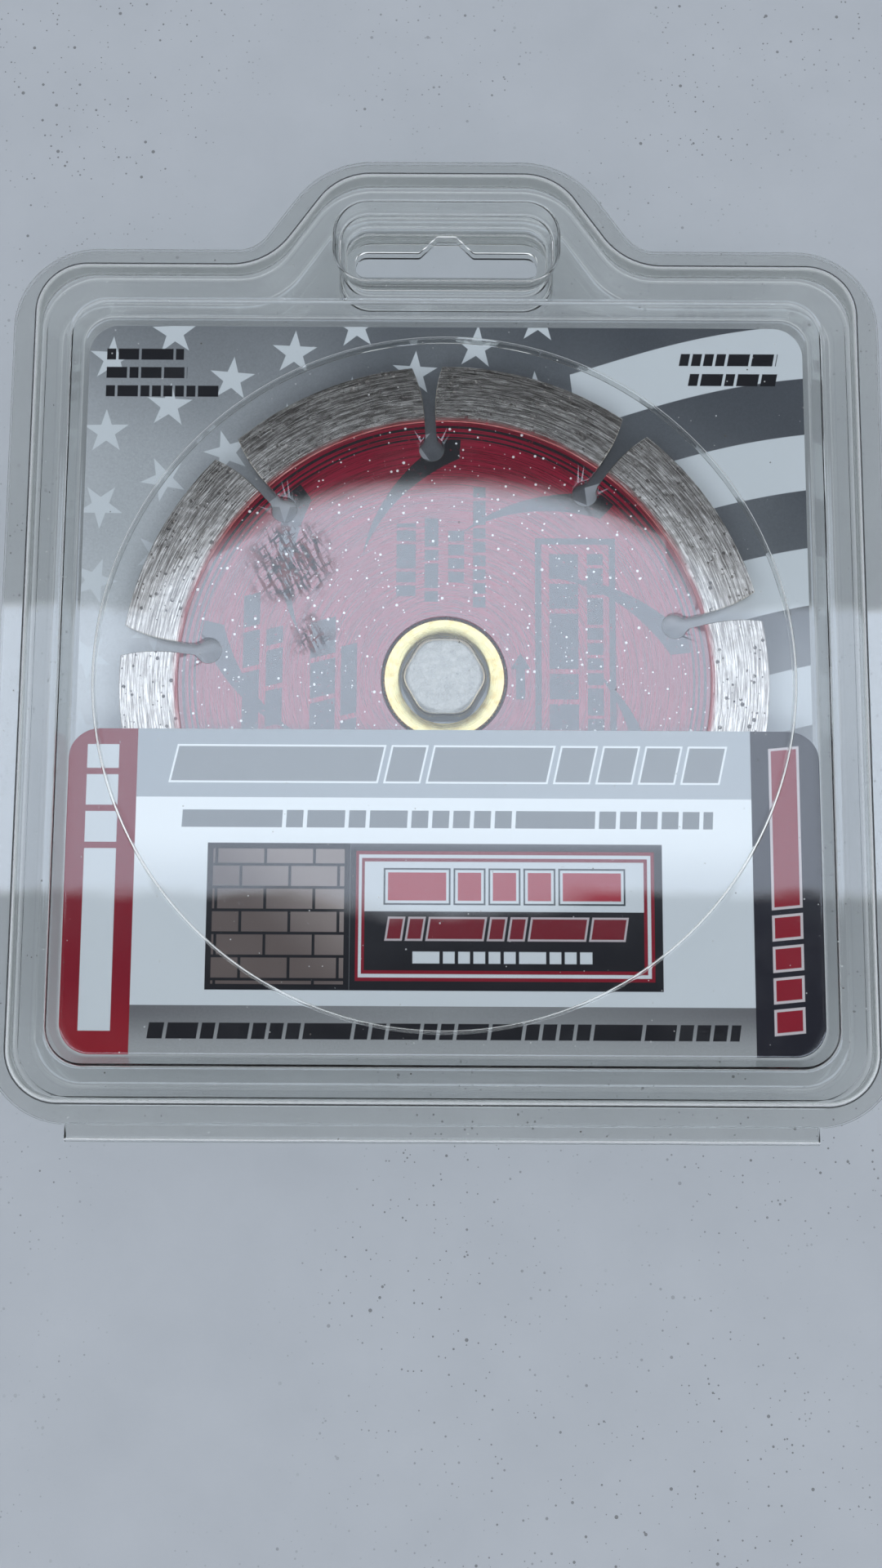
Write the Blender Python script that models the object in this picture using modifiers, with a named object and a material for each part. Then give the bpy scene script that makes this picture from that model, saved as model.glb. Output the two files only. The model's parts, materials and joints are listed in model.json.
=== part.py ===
"""A 4.5 inch segmented diamond blade in its clear clamshell pack, lying on its back.

Everything is in metres with +Z up. The pack rests on z = 0. The origin is the middle of the pack's
footprint, +Y runs towards the hang tab and +X to the right as the label is read. The blade's axis is
parallel to +Z. The pack comes apart as: rear shell, folded hinge strip, front shell, rear card,
front card, blade core, nine cutting segments, and the reducing bush in the blade's bore.
"""

import math

import bmesh
import bpy

MM = 0.001

# The blade: a 4.5 inch (114.3 mm) wheel with a 7/8 inch bore.
BLADE_RADIUS = 57.15 * MM
SEGMENT_COUNT = 9
SEGMENT_HEIGHT = 10.35 * MM
SEGMENT_THICKNESS = 2.2 * MM
CORE_THICKNESS = 1.8 * MM
WELD_LINE = 0.05 * MM
BORE_RADIUS = 11.115 * MM
SLOT_HALF_WIDTH = 0.97 * MM
SLOT_FLARE = 1.75 * MM
SLOT_FLARE_POWER = 2.3
KEYHOLE_CENTRE_RADIUS = 41.85 * MM
KEYHOLE_RADIUS = 2.25 * MM
KEYHOLE_FILLET = 1.2 * MM
FIRST_SLOT_ANGLE = math.radians(13.4)

# The reducing bush: 7/8 inch outside, 5/8 inch (15.875 mm) bore, with a knurled rim.
BUSH_BORE_RADIUS = 7.94 * MM
BUSH_FIT_GAP = 0.25 * MM
KNURL_TEETH = 96
KNURL_DEPTH = 0.28 * MM

# The stack of layers, from the table up.
SHEET = 0.5 * MM
GAP = 0.3 * MM
FRAME_DEPTH = 4.0 * MM
CARD_THICKNESS = 0.4 * MM
REAR_WINDOW_Z = FRAME_DEPTH
REAR_CARD_Z = REAR_WINDOW_Z + SHEET + GAP
SEGMENT_Z = REAR_CARD_Z + CARD_THICKNESS + GAP
CORE_Z = SEGMENT_Z + (SEGMENT_THICKNESS - CORE_THICKNESS) / 2
FRONT_CARD_Z = SEGMENT_Z + SEGMENT_THICKNESS + GAP
FRONT_WINDOW_Z = FRONT_CARD_Z + CARD_THICKNESS + GAP + SHEET
FRONT_CROWN_Z = FRONT_WINDOW_Z + FRAME_DEPTH
FOLD_Z = FRONT_CROWN_Z / 2
FLANGE_GAP = 0.5 * MM
FRONT_FLANGE_Z = FOLD_Z + FLANGE_GAP / 2 + SHEET
REAR_FLANGE_Z = FOLD_Z - FLANGE_GAP / 2 - SHEET
FRONT_HANG_FLOOR_Z = FOLD_Z + 1.1 * MM
REAR_HANG_FLOOR_Z = FOLD_Z - 1.1 * MM
DOME_Z = FRONT_WINDOW_Z + 2.8 * MM
HUB_TOP_Z = CORE_Z + CORE_THICKNESS + 3.2 * MM

# The pack's outline, measured from the blade's axis. The body is the raised part inside the flange.
BODY_HALF_WIDTH = 73.6 * MM
BODY_BOTTOM = -73.2 * MM
BODY_SHOULDER = 74.6 * MM
BODY_TAB_TOP = 91.8 * MM
BODY_CORNER = 10.0 * MM
TAB_CORNER = 12.4 * MM
TAB_CORNER_X = 13.6 * MM
NECK_RADIUS = 11.6 * MM
NECK_X = 38.3 * MM
TAB_SLOPE = math.radians(54.5)
FLANGE_WIDTH = 4.9 * MM
FLANGE_BOTTOM = -76.8 * MM
WALL_DRAFT = 0.9 * MM
CROWN_ROUNDING = 1.3 * MM
CROWN_DROP = 1.1 * MM

# The label window, and the round dome in it that clears the blade.
WINDOW_HALF_WIDTH = 65.0 * MM
WINDOW_TOP = 65.4 * MM
WINDOW_BOTTOM = -65.0 * MM
WINDOW_CORNER = 5.4 * MM
WINDOW_DRAFT = 0.8 * MM
WINDOW_ROUNDING = 0.6 * MM
WINDOW_DROP = 0.6 * MM
DOME_RADIUS = 61.1 * MM
DOME_DRAFT = 0.5 * MM
DOME_ROUNDING = 0.6 * MM

# The hang tab: a sunk pan with a slot that has a hump for a single hook.
PAN_HALF_WIDTH = 19.8 * MM
PAN_BOTTOM = 70.5 * MM
PAN_TOP = 84.9 * MM
PAN_CORNER = 5.8 * MM
PAN_DRAFT = 1.4 * MM
SLOT_HALF_LENGTH = 16.7 * MM
SLOT_BOTTOM = 74.0 * MM
SLOT_TOP = 78.9 * MM
SLOT_CORNER = 2.3 * MM
HUMP_TOP = 82.0 * MM
HUMP_HALF_FOOT = 4.9 * MM
HUMP_HALF_TOP = 1.8 * MM

# The six-lobed hub on the rear shell, which the bush sits on.
HUB_RADIUS = 6.95 * MM
HUB_DRAFT = 0.35 * MM
HUB_ROUNDING = 0.7 * MM
HUB_LOBES = 6
HUB_LOBE_SHARE = 0.035

# The printed cards.
CARD_HALF_WIDTH = 65.3 * MM
CARD_TOP = 65.9 * MM
CARD_BOTTOM = -65.0 * MM
FRONT_CARD_TOP = -9.2 * MM
CARD_CORNER = 5.5 * MM
CARD_HOLE_RADIUS = 9.5 * MM

# The folded strip that joins the two shells. The lid turns about the centre line of its outer round.
FOLD_OUTER_EDGE = -79.8 * MM
FOLD_RADIUS = 0.9 * MM
FOLD_INNER_EDGE = FLANGE_BOTTOM - GAP
FOLD_HALF_LENGTH = 64.0 * MM

# The blade's axis in the pack's own frame, whose origin is the middle of the footprint.
BLADE_Y = -(BODY_TAB_TOP + FLANGE_WIDTH + FOLD_OUTER_EDGE) / 2

CORNER_STEPS = 7
NECK_STEPS = 6
DOME_STEPS = 60
BORE_STEPS = 56


def clear_scene():
    for obj in list(bpy.data.objects):
        bpy.data.objects.remove(obj, do_unlink=True)


def new_collection(name):
    collection = bpy.data.collections.new(name)
    bpy.context.scene.collection.children.link(collection)
    return collection


def material(name, colour, roughness, metallic=0.0, alpha=1.0, transmission=0.0):
    made = bpy.data.materials.new(name)
    made.use_nodes = True
    shader = made.node_tree.nodes["Principled BSDF"]
    shader.inputs["Base Color"].default_value = (*colour, 1.0)
    shader.inputs["Roughness"].default_value = roughness
    shader.inputs["Metallic"].default_value = metallic
    shader.inputs["Alpha"].default_value = alpha
    shader.inputs["Transmission Weight"].default_value = transmission
    made.diffuse_color = (*colour, alpha)
    return made


# Outlines: lists of (x, y) points that run anticlockwise.


def arc(centre_x, centre_y, radius, start, end, steps):
    """The points of an arc, both ends included. It runs clockwise when end is below start."""
    angles = [start + (end - start) * i / steps for i in range(steps + 1)]
    return [(centre_x + radius * math.cos(a), centre_y + radius * math.sin(a)) for a in angles]


def circle(radius, steps):
    return arc(0, 0, radius, 0, 2 * math.pi, steps)[:-1]


def mirrored(right_half):
    """A right half that runs from bottom to top, closed with its mirror image."""
    return right_half + [(-x, y) for x, y in reversed(right_half)]


def rounded_rectangle(half_width, bottom, top, corner, steps=CORNER_STEPS):
    quarter = math.pi / 2
    side = half_width - corner
    lower = arc(side, bottom + corner, corner, -quarter, 0, steps)
    upper = arc(side, top - corner, corner, 0, quarter, steps)
    return mirrored(lower + upper)


def bell(outset, bottom=None):
    """The body's outline with its bell-shaped hang tab, moved outwards by outset."""
    quarter = math.pi / 2
    foot = BODY_BOTTOM - outset if bottom is None else bottom
    corner = BODY_CORNER + outset
    side = BODY_HALF_WIDTH - BODY_CORNER
    shoulder = BODY_SHOULDER - BODY_CORNER
    neck_y = BODY_SHOULDER + NECK_RADIUS
    tab_y = BODY_TAB_TOP - TAB_CORNER
    half = arc(side, foot + corner, corner, -quarter, 0, CORNER_STEPS)
    half += arc(side, shoulder, corner, 0, quarter, CORNER_STEPS)
    half += arc(NECK_X, neck_y, NECK_RADIUS - outset, -quarter, -quarter - TAB_SLOPE, NECK_STEPS)
    half += arc(TAB_CORNER_X, tab_y, TAB_CORNER + outset, quarter - TAB_SLOPE, quarter, NECK_STEPS)
    return mirrored(half)


def hang_slot():
    """The slot in the hang tab, with the hump that centres a single hook."""
    quarter = math.pi / 2
    side = SLOT_HALF_LENGTH - SLOT_CORNER
    half = arc(side, SLOT_BOTTOM + SLOT_CORNER, SLOT_CORNER, -quarter, 0, 4)
    half += arc(side, SLOT_TOP - SLOT_CORNER, SLOT_CORNER, 0, quarter, 4)
    half += [(HUMP_HALF_FOOT, SLOT_TOP), (HUMP_HALF_TOP, HUMP_TOP)]
    return mirrored(half)


def hub_outline(radius):
    """A circle with six soft lobes, like a rounded hexagon."""
    points = []
    for x, y in circle(radius, HUB_LOBES * 6):
        lobe = 1 + HUB_LOBE_SHARE * math.cos(HUB_LOBES * math.atan2(y, x))
        points.append((x * lobe, y * lobe))
    return points


# Shells: rings joined by walls and closed by flats, then given the sheet's thickness.


class Sheet:
    """An open surface built from rings. Its outside faces up, or down when it is upside down."""

    def __init__(self, upside_down):
        self.mesh = bmesh.new()
        self.upside_down = upside_down

    def ring(self, outline, height):
        return [self.mesh.verts.new((x, y, height)) for x, y in outline]

    def wall(self, outer, inner):
        """Quads between two rings of the same count, the outer one given first."""
        count = len(outer)
        for i in range(count):
            j = (i + 1) % count
            corners = (outer[i], outer[j], inner[j], inner[i])
            self.mesh.faces.new(reversed(corners) if self.upside_down else corners)

    def walls(self, rings):
        for outer, inner in zip(rings, rings[1:]):
            self.wall(outer, inner)

    def flat(self, *rings):
        """A flat sheet inside the first ring and outside the others."""
        edges = []
        for ring in rings:
            pairs = zip(ring, ring[1:] + ring[:1])
            edges += [self.mesh.edges.get(pair) or self.mesh.edges.new(pair) for pair in pairs]
        normal = (0, 0, -1 if self.upside_down else 1)
        made = bmesh.ops.triangle_fill(
            self.mesh, use_beauty=True, use_dissolve=False, edges=edges, normal=normal
        )
        for face in made["geom"]:
            if isinstance(face, bmesh.types.BMFace) and face.normal.z * normal[2] < 0:
                face.normal_flip()

    def finish(self, name, collection, coating):
        self.mesh.normal_update()
        data = bpy.data.meshes.new(name)
        self.mesh.to_mesh(data)
        self.mesh.free()
        obj = add_object(name, data, collection, coating)
        obj.location.y = BLADE_Y
        solidify = obj.modifiers.new("sheet_thickness", "SOLIDIFY")
        solidify.thickness = SHEET
        solidify.offset = -1
        solidify.use_even_offset = True
        return obj


def frame_rings(sheet, flange_z, crown_z):
    """The flange, the body's outer wall and its rounded crown. Returns the crown's inner ring."""
    sign = -1 if sheet.upside_down else 1
    rings = [
        sheet.ring(bell(FLANGE_WIDTH, FLANGE_BOTTOM), flange_z),
        sheet.ring(bell(0), flange_z),
        sheet.ring(bell(-WALL_DRAFT), crown_z - sign * CROWN_DROP),
        sheet.ring(bell(-WALL_DRAFT - CROWN_ROUNDING), crown_z),
    ]
    sheet.walls(rings)
    return rings[-1]


def window_rings(sheet, window_z, crown_z):
    """The wall from the crown down to the label window. Returns its mouth and its foot."""
    sign = -1 if sheet.upside_down else 1
    levels = (
        (WINDOW_DRAFT + WINDOW_ROUNDING, crown_z),
        (WINDOW_DRAFT, crown_z - sign * WINDOW_DROP),
        (0, window_z),
    )
    rings = []
    for outset, height in levels:
        outline = rounded_rectangle(
            WINDOW_HALF_WIDTH + outset,
            WINDOW_BOTTOM - outset,
            WINDOW_TOP + outset,
            WINDOW_CORNER + outset,
        )
        rings.append(sheet.ring(outline, height))
    sheet.walls(rings)
    return rings[0], rings[-1]


def hang_pan(sheet, floor_z, crown_z):
    """The sunk pan of the hang tab, with its slot. Returns the pan's mouth."""
    mouth = sheet.ring(rounded_rectangle(PAN_HALF_WIDTH, PAN_BOTTOM, PAN_TOP, PAN_CORNER), crown_z)
    floor_outline = rounded_rectangle(
        PAN_HALF_WIDTH - PAN_DRAFT,
        PAN_BOTTOM + PAN_DRAFT,
        PAN_TOP - PAN_DRAFT,
        PAN_CORNER - PAN_DRAFT,
    )
    floor = sheet.ring(floor_outline, floor_z)
    sheet.wall(mouth, floor)
    sheet.flat(floor, sheet.ring(hang_slot(), floor_z))
    return mouth


def add_front_shell(collection, coating):
    sheet = Sheet(upside_down=False)
    crown = frame_rings(sheet, FRONT_FLANGE_Z, FRONT_CROWN_Z)
    mouth, foot = window_rings(sheet, FRONT_WINDOW_Z, FRONT_CROWN_Z)
    pan = hang_pan(sheet, FRONT_HANG_FLOOR_Z, FRONT_CROWN_Z)
    sheet.flat(crown, mouth, pan)
    dome = [
        sheet.ring(circle(DOME_RADIUS, DOME_STEPS), FRONT_WINDOW_Z),
        sheet.ring(circle(DOME_RADIUS - DOME_DRAFT, DOME_STEPS), DOME_Z - DOME_ROUNDING),
        sheet.ring(circle(DOME_RADIUS - DOME_DRAFT - DOME_ROUNDING, DOME_STEPS), DOME_Z),
    ]
    sheet.flat(foot, dome[0])
    sheet.walls(dome)
    sheet.flat(dome[-1])
    return sheet.finish("front_shell", collection, coating)


def add_rear_shell(collection, coating):
    sheet = Sheet(upside_down=True)
    crown = frame_rings(sheet, REAR_FLANGE_Z, 0.0)
    mouth, foot = window_rings(sheet, REAR_WINDOW_Z, 0.0)
    pan = hang_pan(sheet, REAR_HANG_FLOOR_Z, 0.0)
    sheet.flat(crown, mouth, pan)
    roof_z = HUB_TOP_Z - SHEET
    hub = [
        sheet.ring(hub_outline(HUB_RADIUS), REAR_WINDOW_Z),
        sheet.ring(hub_outline(HUB_RADIUS - HUB_DRAFT), roof_z - HUB_ROUNDING),
        sheet.ring(hub_outline(HUB_RADIUS - HUB_DRAFT - HUB_ROUNDING), roof_z),
    ]
    sheet.flat(foot, hub[0])
    sheet.walls(hub)
    sheet.flat(hub[-1])
    return sheet.finish("rear_shell", collection, coating)


# Plates: flat outlines extruded to a thickness.


def add_object(name, data, collection, coating):
    obj = bpy.data.objects.new(name, data)
    data.materials.append(coating)
    collection.objects.link(obj)
    return obj


def plate_curve(name, outlines, thickness):
    """A filled flat curve with its holes, as thick as the plate."""
    curve = bpy.data.curves.new(name, "CURVE")
    curve.dimensions = "2D"
    curve.fill_mode = "BOTH"
    curve.extrude = thickness / 2
    for outline in outlines:
        spline = curve.splines.new("POLY")
        spline.points.add(len(outline) - 1)
        for point, (x, y) in zip(spline.points, outline):
            point.co = (x, y, 0, 1)
        spline.use_cyclic_u = True
    return curve


def add_plate(name, outlines, thickness, bottom_z, collection, coating):
    obj = add_object(name, plate_curve(name, outlines, thickness), collection, coating)
    obj.location = (0, BLADE_Y, bottom_z + thickness / 2)
    return obj


def slot_half_width(radius):
    """Half the gap between two segments: narrow at the core, flared towards the rim."""
    root = BLADE_RADIUS - SEGMENT_HEIGHT
    share = max(0.0, (radius - root) / SEGMENT_HEIGHT)
    return SLOT_HALF_WIDTH + SLOT_FLARE * share**SLOT_FLARE_POWER


def keyhole_side():
    """One side of a slot along +X, from the core's rim inwards to the keyhole's inner end."""
    rise = SLOT_HALF_WIDTH + KEYHOLE_FILLET
    reach = KEYHOLE_RADIUS + KEYHOLE_FILLET
    lean = math.asin(rise / reach)
    fillet_x = KEYHOLE_CENTRE_RADIUS + reach * math.cos(lean)
    fillet = arc(fillet_x, rise, KEYHOLE_FILLET, -math.pi / 2, -math.pi + lean, 4)
    hole = arc(KEYHOLE_CENTRE_RADIUS, 0, KEYHOLE_RADIUS, lean, math.pi, 10)
    core_radius = BLADE_RADIUS - SEGMENT_HEIGHT - WELD_LINE
    rim_x = math.sqrt(core_radius**2 - SLOT_HALF_WIDTH**2)
    return [(rim_x, SLOT_HALF_WIDTH)] + fillet + hole[1:]


def turned(points, angle):
    cosine, sine = math.cos(angle), math.sin(angle)
    return [(x * cosine - y * sine, x * sine + y * cosine) for x, y in points]


def core_outline():
    """The core's rim, cut by a keyhole slot between each pair of segments."""
    upper = keyhole_side()
    slot = [(x, -y) for x, y in upper] + upper[-2::-1]
    core_radius = BLADE_RADIUS - SEGMENT_HEIGHT - WELD_LINE
    edge_angle = math.asin(SLOT_HALF_WIDTH / core_radius)
    pitch = 2 * math.pi / SEGMENT_COUNT
    rim = arc(0, 0, core_radius, edge_angle, pitch - edge_angle, 10)[1:-1]
    outline = []
    for i in range(SEGMENT_COUNT):
        outline += turned(slot + rim, FIRST_SLOT_ANGLE + i * pitch)
    return outline


def segment_outline():
    """One cutting segment, centred on +X, between two flared gaps."""
    half_pitch = math.pi / SEGMENT_COUNT
    root = BLADE_RADIUS - SEGMENT_HEIGHT
    end_steps = 6
    end = []
    for i in range(end_steps + 1):
        radius = root + SEGMENT_HEIGHT * i / end_steps
        angle = half_pitch - math.asin(slot_half_width(radius) / radius)
        end.append((radius, angle))
    right = [(r * math.cos(-a), r * math.sin(-a)) for r, a in end]
    left = [(r * math.cos(a), r * math.sin(a)) for r, a in reversed(end)]
    rim = arc(0, 0, BLADE_RADIUS, -end[-1][1], end[-1][1], 14)[1:-1]
    seat = arc(0, 0, root, end[0][1], -end[0][1], 12)[1:-1]
    return right + rim + left + seat


def knurled_outline():
    tip = BORE_RADIUS - BUSH_FIT_GAP
    outline = []
    for x, y in circle(1.0, 2 * KNURL_TEETH):
        radius = tip if len(outline) % 2 else tip - KNURL_DEPTH
        outline.append((x * radius, y * radius))
    return outline


def add_blade(collection):
    core_paint = material("core_paint", (0.42, 0.03, 0.06), 0.35, 0.4)
    sintered = material("sintered_metal", (0.33, 0.29, 0.27), 0.55, 0.8)
    brass = material("bush_brass", (0.83, 0.66, 0.28), 0.25, 1.0)
    core = [core_outline(), circle(BORE_RADIUS, BORE_STEPS)]
    add_plate("blade_core", core, CORE_THICKNESS, CORE_Z, collection, core_paint)
    segment = plate_curve("segment", [segment_outline()], SEGMENT_THICKNESS)
    segment.materials.append(sintered)
    pitch = 2 * math.pi / SEGMENT_COUNT
    for i in range(SEGMENT_COUNT):
        obj = bpy.data.objects.new(f"segment_{i + 1}", segment)
        obj.location = (0, BLADE_Y, SEGMENT_Z + SEGMENT_THICKNESS / 2)
        obj.rotation_euler.z = FIRST_SLOT_ANGLE + (i + 0.5) * pitch
        collection.objects.link(obj)
    bush = [knurled_outline(), circle(BUSH_BORE_RADIUS, BORE_STEPS)]
    add_plate("arbor_bush", bush, CORE_THICKNESS, CORE_Z, collection, brass)


def add_cards(collection):
    rear_print = material("rear_card_print", (0.45, 0.46, 0.50), 0.4)
    front_print = material("front_card_print", (0.75, 0.77, 0.80), 0.4)
    rear = rounded_rectangle(CARD_HALF_WIDTH, CARD_BOTTOM, CARD_TOP, CARD_CORNER)
    hole = circle(CARD_HOLE_RADIUS, BORE_STEPS)
    add_plate("rear_card", [rear, hole], CARD_THICKNESS, REAR_CARD_Z, collection, rear_print)
    front = rounded_rectangle(CARD_HALF_WIDTH, CARD_BOTTOM, FRONT_CARD_TOP, CARD_CORNER)
    add_plate("front_card", [front], CARD_THICKNESS, FRONT_CARD_Z, collection, front_print)


def add_hinge_strip(collection, coating):
    """The folded web between the shells, as a slim flattened strip along the fold's axis."""
    half_width = (FOLD_INNER_EDGE - FOLD_OUTER_EDGE) / 2
    reach = half_width - FOLD_RADIUS
    quarter = math.pi / 2
    section = arc(reach, 0, FOLD_RADIUS, -quarter, quarter, 8)
    section += arc(-reach, 0, FOLD_RADIUS, quarter, 3 * quarter, 8)
    curve = plate_curve("hinge_strip", [section], 2 * FOLD_HALF_LENGTH)
    strip = add_object("hinge_strip", curve, collection, coating)
    strip.location = (0, BLADE_Y + FOLD_OUTER_EDGE + half_width, FOLD_Z)
    strip.rotation_euler = (math.pi / 2, 0, math.pi / 2)


def build():
    clear_scene()
    collection = new_collection("diamond_blade_pack")
    clear_plastic = material("clear_plastic", (0.80, 0.84, 0.82), 0.08, 0.0, 0.35, 0.9)
    add_rear_shell(collection, clear_plastic)
    add_front_shell(collection, clear_plastic.copy())
    add_hinge_strip(collection, clear_plastic.copy())
    add_cards(collection)
    add_blade(collection)


build()
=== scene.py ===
# The looks of a 4.5 inch segmented blade in its clear clamshell. Plan sizes are in millimetres from the
# blade's axis, heights in millimetres above the plane the pack rests on. +Y runs to the hang tab.

import json
import math

import bmesh
import bpy
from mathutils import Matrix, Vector, noise


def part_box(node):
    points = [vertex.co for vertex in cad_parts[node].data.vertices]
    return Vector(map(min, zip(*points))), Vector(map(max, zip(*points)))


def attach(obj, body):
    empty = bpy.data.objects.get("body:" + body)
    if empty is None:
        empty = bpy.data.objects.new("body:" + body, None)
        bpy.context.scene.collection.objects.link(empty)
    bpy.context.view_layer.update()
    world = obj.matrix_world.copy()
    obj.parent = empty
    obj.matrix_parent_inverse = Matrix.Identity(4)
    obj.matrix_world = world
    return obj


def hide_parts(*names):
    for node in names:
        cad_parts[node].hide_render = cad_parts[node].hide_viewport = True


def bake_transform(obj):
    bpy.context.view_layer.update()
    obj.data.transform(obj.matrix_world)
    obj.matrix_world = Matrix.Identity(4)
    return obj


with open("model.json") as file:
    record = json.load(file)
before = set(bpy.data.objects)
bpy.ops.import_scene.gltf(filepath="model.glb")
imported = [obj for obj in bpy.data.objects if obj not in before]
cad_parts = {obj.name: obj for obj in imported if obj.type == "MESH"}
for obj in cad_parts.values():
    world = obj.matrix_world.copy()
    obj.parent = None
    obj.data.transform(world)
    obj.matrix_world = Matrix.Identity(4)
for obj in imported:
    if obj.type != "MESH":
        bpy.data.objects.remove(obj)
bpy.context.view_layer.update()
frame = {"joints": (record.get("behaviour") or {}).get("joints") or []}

MM = 0.001
QUARTER = math.pi / 2


def span(node):
    """A CAD node's lowest and highest corners, in millimetres."""
    low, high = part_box(node)
    return low / MM, high / MM


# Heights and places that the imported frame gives.
CORE_LOW, CORE_HIGH = span("blade_core")
BUSH_LOW, BUSH_HIGH = span("arbor_bush")
SEGMENT_LOW, SEGMENT_HIGH = span("segment_1")
REAR_CARD_LOW, REAR_CARD_HIGH = span("rear_card")
FRONT_CARD_LOW, FRONT_CARD_HIGH = span("front_card")
FOLD_LOW, FOLD_HIGH = span("hinge_strip")
AXIS_Y = (BUSH_LOW.y + BUSH_HIGH.y) / 2
HUB_TOP = span("rear_shell")[1].z
CROWN_TOP = span("front_shell")[1].z
FRONT_FLANGE = span("front_shell")[0].z
HINGE = next(joint for joint in frame["joints"] if joint["name"] == "lid_hinge")
FOLD_Y = HINGE["pos_m"][1] / MM - AXIS_Y
FOLD_Z = HINGE["pos_m"][2] / MM

SHEET = 0.5
CLEARANCE = 0.3
WEB_HALF_SHARE = 0.45  # the stretched web is a little thinner than the sheet
DOME_HEIGHT = 2.8
HANG_FLOOR_RISE = 1.1
FRONT_FLANGE_TOP = FRONT_FLANGE + SHEET
REAR_FLANGE_BOTTOM = 2 * FOLD_Z - FRONT_FLANGE_TOP
FRONT_WINDOW = FRONT_CARD_HIGH.z + CLEARANCE + SHEET
REAR_WINDOW = REAR_CARD_LOW.z - CLEARANCE - SHEET
DOME_TOP = FRONT_WINDOW + DOME_HEIGHT
HANG_FLOOR = FOLD_Z + HANG_FLOOR_RISE

# The pack's outline. The body is the raised part inside the flange.
BODY_HALF_WIDTH = 73.6
BODY_BOTTOM = -73.2
BODY_SHOULDER = 74.6
BODY_TAB_TOP = 91.8
BODY_CORNER = 10.0
TAB_CORNER = 12.4
TAB_CORNER_X = 13.6
NECK_RADIUS = 11.6
NECK_X = 38.3
TAB_SLOPE = math.radians(54.5)
FLANGE_WIDTH = 4.9
FLANGE_BOTTOM = -76.8
WALL_DRAFT = 0.9
CROWN_LAND = 2.9
FLANGE_RADIUS = 0.9
CROWN_RADIUS = 1.7

WINDOW_HALF_WIDTH = 65.0
WINDOW_TOP = 65.4
WINDOW_BOTTOM = -65.0
WINDOW_CORNER = 5.4
WINDOW_DRAFT = 0.8
MOUTH_LAND = 2.2
MOUTH_RADIUS = 0.9
WINDOW_LAND = 1.3
WINDOW_RADIUS = 0.7
DOME_RADIUS = 61.1
DOME_DRAFT = 0.5
DOME_LAND = 1.6
CUP_FLARE = 1.2

PAN_HALF_WIDTH = 19.8
PAN_BOTTOM = 70.5
PAN_TOP = 84.9
PAN_CORNER = 5.8
PAN_DRAFT = 1.4
SLOT_HALF_LENGTH = 16.7
SLOT_BOTTOM = 74.0
SLOT_TOP = 78.9
SLOT_CORNER = 2.3
HUMP_TOP = 82.0
HUMP_HALF_FOOT = 4.9
HUMP_HALF_TOP = 1.8

HUB_RADIUS = 6.95
HUB_DRAFT = 0.35
HUB_LAND = 1.5
HUB_LOBES = 6
HUB_LOBE_SHARE = 0.035

# The blade.
BLADE_RADIUS = 57.15
SEGMENT_COUNT = 9
PITCH = 2 * math.pi / SEGMENT_COUNT
SEGMENT_HEIGHT = 10.35
CORE_RADIUS = BLADE_RADIUS - SEGMENT_HEIGHT
CORE_OVERLAP = 0.08  # how far the painted core runs under the segments, so that no seam shows
CORE_EDGE = 0.14
SEGMENT_EDGE = 0.13
BORE_RADIUS = 11.115
SLOT_HALF_WIDTH = 0.97
SLOT_FLARE = 1.75
SLOT_FLARE_POWER = 2.3
KEYHOLE_CENTRE_RADIUS = 41.85
KEYHOLE_RADIUS = 2.25
KEYHOLE_FILLET = 1.2
FIRST_SLOT_ANGLE = math.radians(13.4)
BUSH_TIP_RADIUS = 10.865
BUSH_BORE_RADIUS = 7.94
KNURL_TEETH = 96
KNURL_DEPTH = 0.28
BUSH_CHAMFER = 0.3

# The cards.
CARD_HALF_WIDTH = 65.3
CARD_BOTTOM = -65.0
CARD_TOP = 65.9
FRONT_CARD_TOP = -9.2
CARD_CORNER = 5.5
CARD_HOLE_RADIUS = 9.5
CARD_EDGE = 0.06
FIELD_TOP = -21.1
FIELD_BOTTOM = -56.6
SIDE_BAND = 53.2
SIDE_TEXT_BOTTOM = -61.5
SIDE_TEXT_TOP = -12.0
PANEL_LEFT = -40.6
PANEL_SPLIT = -16.0
PANEL_RIGHT = 37.6
PANEL_BOTTOM = -54.0
PANEL_TOP = -29.0


# Outlines: closed lists of (x, y) points that run anticlockwise.


def arc(centre_x, centre_y, radius, start, end, steps):
    angles = [start + (end - start) * i / steps for i in range(steps + 1)]
    return [(centre_x + radius * math.cos(a), centre_y + radius * math.sin(a)) for a in angles]


def circle(radius, steps):
    return arc(0, 0, radius, 0, 2 * math.pi, steps)[:-1]


def mirrored(right_half):
    return right_half + [(-x, y) for x, y in reversed(right_half)]


def rounded_rectangle(half_width, bottom, top, corner, steps=14):
    side = half_width - corner
    lower = arc(side, bottom + corner, corner, -QUARTER, 0, steps)
    upper = arc(side, top - corner, corner, 0, QUARTER, steps)
    return mirrored(lower + upper)


def rounded_path(points, radii, steps=6):
    """A polyline from the first point to the last, with its inner corners rounded off."""
    path = [tuple(points[0])]
    for before, corner, after, radius in zip(points, points[1:], points[2:], radii):
        corner = Vector(corner)
        back = Vector(before) - corner
        onward = Vector(after) - corner
        turn = math.pi - back.angle(onward)
        cut = min(radius * math.tan(turn / 2), 0.49 * back.length, 0.49 * onward.length)
        start = corner + back.normalized() * cut
        end = corner + onward.normalized() * cut
        for i in range(steps + 1):
            t = i / steps
            path.append(tuple(start * (1 - t) ** 2 + corner * (2 * t * (1 - t)) + end * t * t))
    path.append(tuple(points[-1]))
    return path


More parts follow.
